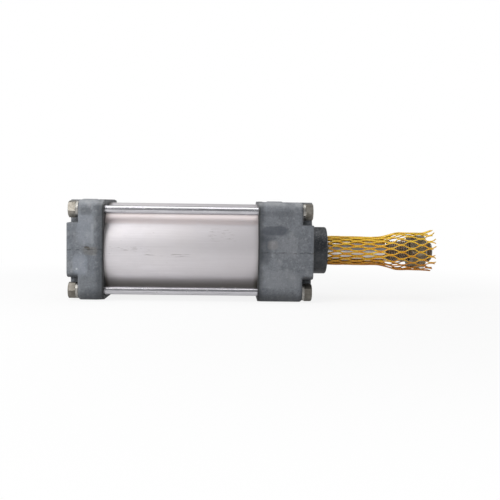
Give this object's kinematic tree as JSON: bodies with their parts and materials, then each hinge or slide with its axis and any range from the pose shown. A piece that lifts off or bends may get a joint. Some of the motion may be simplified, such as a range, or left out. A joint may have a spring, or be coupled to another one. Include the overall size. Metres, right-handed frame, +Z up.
{
  "type": "tie-rod pneumatic cylinder",
  "caption": "Double-acting tie-rod air cylinder with square cushioned end caps, a round barrel and a threaded piston rod under a protective net sleeve.",
  "frame": {"origin": "on the rod axis in the front mounting face, the outer face of the front cap's cross-shaped boss", "axes": "+X along the piston rod, out of the front of the cylinder; +Z up through the air ports; the cushion needles are on the -Y side of the ports"},
  "size_m": [0.4141, 0.11, 0.1108],
  "materials": {
    "cap_casting": "grey coated casting, matt",
    "barrel_alloy": "satin anodised tube",
    "tie_rod_steel": "drawn bright steel",
    "nut_steel": "zinc plated, dull",
    "washer_steel": "bright spring steel",
    "gland_black": "black anodised, satin",
    "bush_bronze": "sintered bronze",
    "seal_rubber": "nitrile rubber",
    "wear_ring_plastic": "filled acetal",
    "piston_alloy": "turned",
    "sleeve_steel": "ground",
    "needle_brass": "turned",
    "rod_chrome": "hard chromed and ground, bare turned thread",
    "net_plastic": "translucent yellow polyethylene netting"
  },
  "bodies": {
    "cylinder_body": {"front_cap": "cap_casting", "rear_cap": "cap_casting", "barrel_tube": "barrel_alloy", "tie_rod_1": "tie_rod_steel", "tie_rod_2": "tie_rod_steel", "tie_rod_3": "tie_rod_steel", "tie_rod_4": "tie_rod_steel", "front_tie_rod_nuts": "nut_steel", "rear_tie_rod_nuts": "nut_steel", "front_lock_washers": "washer_steel", "rear_lock_washers": "washer_steel", "front_barrel_oring": "seal_rubber", "rear_barrel_oring": "seal_rubber", "front_cushion_seal": "seal_rubber", "rear_cushion_seal": "seal_rubber", "rod_gland": "gland_black", "rod_bush": "bush_bronze", "rod_seal": "seal_rubber", "rod_wiper": "seal_rubber", "gland_oring": "seal_rubber", "front_needle_retainer": "nut_steel", "rear_needle_retainer": "nut_steel"},
    "piston_seals": {"front_piston_seal": "seal_rubber", "rear_piston_seal": "seal_rubber", "piston_wear_ring": "wear_ring_plastic"},
    "piston_and_rod": {"piston": "piston_alloy", "piston_oring": "seal_rubber", "front_cushion_sleeve": "sleeve_steel", "rear_cushion_sleeve": "sleeve_steel", "piston_nut": "nut_steel", "piston_rod": "rod_chrome", "rod_lock_nut": "nut_steel", "rod_guard_net": "net_plastic"},
    "front_needle_seal": {"front_needle_oring": "seal_rubber"},
    "front_needle": {"front_cushion_needle": "needle_brass"},
    "rear_needle_seal": {"rear_needle_oring": "seal_rubber"},
    "rear_needle": {"rear_cushion_needle": "needle_brass"}
  },
  "joints": [
    {"name": "piston_slide", "type": "slide", "parent": "cylinder_body", "child": "piston_seals", "axis": [1, 0, 0], "range_m": [0, 0.125]},
    {"name": "rod_spin", "type": "hinge", "parent": "piston_seals", "child": "piston_and_rod", "pos_m": [0, 0, 0], "axis": [1, 0, 0], "continuous": true},
    {"name": "front_needle_lift", "type": "slide", "parent": "cylinder_body", "child": "front_needle_seal", "axis": [0, 0, 1], "range_m": [0, 0.003]},
    {"name": "front_needle_turn", "type": "hinge", "parent": "front_needle_seal", "child": "front_needle", "pos_m": [-0.0427, -0.028, 0.05], "axis": [0, 0, 1], "range_deg": [0, 1080]},
    {"name": "rear_needle_lift", "type": "slide", "parent": "cylinder_body", "child": "rear_needle_seal", "axis": [0, 0, 1], "range_m": [0, 0.003]},
    {"name": "rear_needle_turn", "type": "hinge", "parent": "rear_needle_seal", "child": "rear_needle", "pos_m": [-0.2479, -0.028, 0.05], "axis": [0, 0, 1], "range_deg": [0, 1080]}
  ],
  "couplings": [
    {"joint": "front_needle_lift", "follows": "front_needle_turn", "m_per_rad": 0.00015915},
    {"joint": "rear_needle_lift", "follows": "rear_needle_turn", "m_per_rad": 0.00015915}
  ]
}
